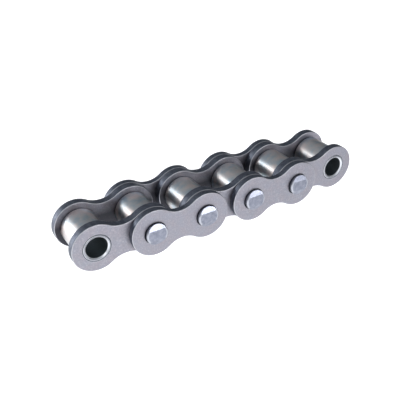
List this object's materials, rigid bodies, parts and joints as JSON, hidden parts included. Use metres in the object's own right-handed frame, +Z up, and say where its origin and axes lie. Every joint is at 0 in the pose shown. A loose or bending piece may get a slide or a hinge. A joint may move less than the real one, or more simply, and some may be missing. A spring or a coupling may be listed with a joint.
{
  "type": "roller chain",
  "caption": "Short length of single-strand roller chain: waisted link plates on riveted pins, turning rollers on bushes, open bushes at both ends.",
  "frame": {"origin": "middle of the chain's length and width, on the line through the pin axes with the chain straight", "axes": "+X along the chain, +Y along the pins from the front plates to the back ones, +Z up across the plates' height"},
  "size_m": [0.2236, 0.0534, 0.0332],
  "materials": {
    "link_plate": "matt, tumbled, fine grain",
    "roller": "satin, ground",
    "bush": "satin, turned",
    "pin": "satin, staked ends"
  },
  "bodies": {
    "inner_link_1": {"inner_plate_front_1": "link_plate", "inner_plate_back_1": "link_plate", "bush_1": "bush", "bush_2": "bush"},
    "inner_link_2": {"inner_plate_front_2": "link_plate", "inner_plate_back_2": "link_plate", "bush_3": "bush", "bush_4": "bush"},
    "inner_link_3": {"inner_plate_front_3": "link_plate", "inner_plate_back_3": "link_plate", "bush_5": "bush", "bush_6": "bush"},
    "outer_link_1": {"outer_plate_front_1": "link_plate", "outer_plate_back_1": "link_plate", "pin_1": "pin", "pin_2": "pin"},
    "outer_link_2": {"outer_plate_front_2": "link_plate", "outer_plate_back_2": "link_plate", "pin_3": "pin", "pin_4": "pin"},
    "roller_1": {"roller_1": "roller"},
    "roller_2": {"roller_2": "roller"},
    "roller_3": {"roller_3": "roller"},
    "roller_4": {"roller_4": "roller"},
    "roller_5": {"roller_5": "roller"},
    "roller_6": {"roller_6": "roller"}
  },
  "joints": [
    {"name": "hinge_2", "type": "hinge", "parent": "outer_link_1", "child": "inner_link_1", "pos_m": [-0.05715, 0, 0], "axis": [0, 1, 0], "range_deg": [-60, 60]},
    {"name": "hinge_3", "type": "hinge", "parent": "inner_link_2", "child": "outer_link_1", "pos_m": [-0.01905, 0, 0], "axis": [0, 1, 0], "range_deg": [-60, 60]},
    {"name": "hinge_4", "type": "hinge", "parent": "inner_link_2", "child": "outer_link_2", "pos_m": [0.01905, 0, 0], "axis": [0, 1, 0], "range_deg": [-60, 60]},
    {"name": "hinge_5", "type": "hinge", "parent": "outer_link_2", "child": "inner_link_3", "pos_m": [0.05715, 0, 0], "axis": [0, 1, 0], "range_deg": [-60, 60]},
    {"name": "roller_spin_1", "type": "hinge", "parent": "inner_link_1", "child": "roller_1", "pos_m": [-0.09525, 0, 0], "axis": [0, 1, 0], "continuous": true},
    {"name": "roller_spin_2", "type": "hinge", "parent": "inner_link_1", "child": "roller_2", "pos_m": [-0.05715, 0, 0], "axis": [0, 1, 0], "continuous": true},
    {"name": "roller_spin_3", "type": "hinge", "parent": "inner_link_2", "child": "roller_3", "pos_m": [-0.01905, 0, 0], "axis": [0, 1, 0], "continuous": true},
    {"name": "roller_spin_4", "type": "hinge", "parent": "inner_link_2", "child": "roller_4", "pos_m": [0.01905, 0, 0], "axis": [0, 1, 0], "continuous": true},
    {"name": "roller_spin_5", "type": "hinge", "parent": "inner_link_3", "child": "roller_5", "pos_m": [0.05715, 0, 0], "axis": [0, 1, 0], "continuous": true},
    {"name": "roller_spin_6", "type": "hinge", "parent": "inner_link_3", "child": "roller_6", "pos_m": [0.09525, 0, 0], "axis": [0, 1, 0], "continuous": true}
  ]
}
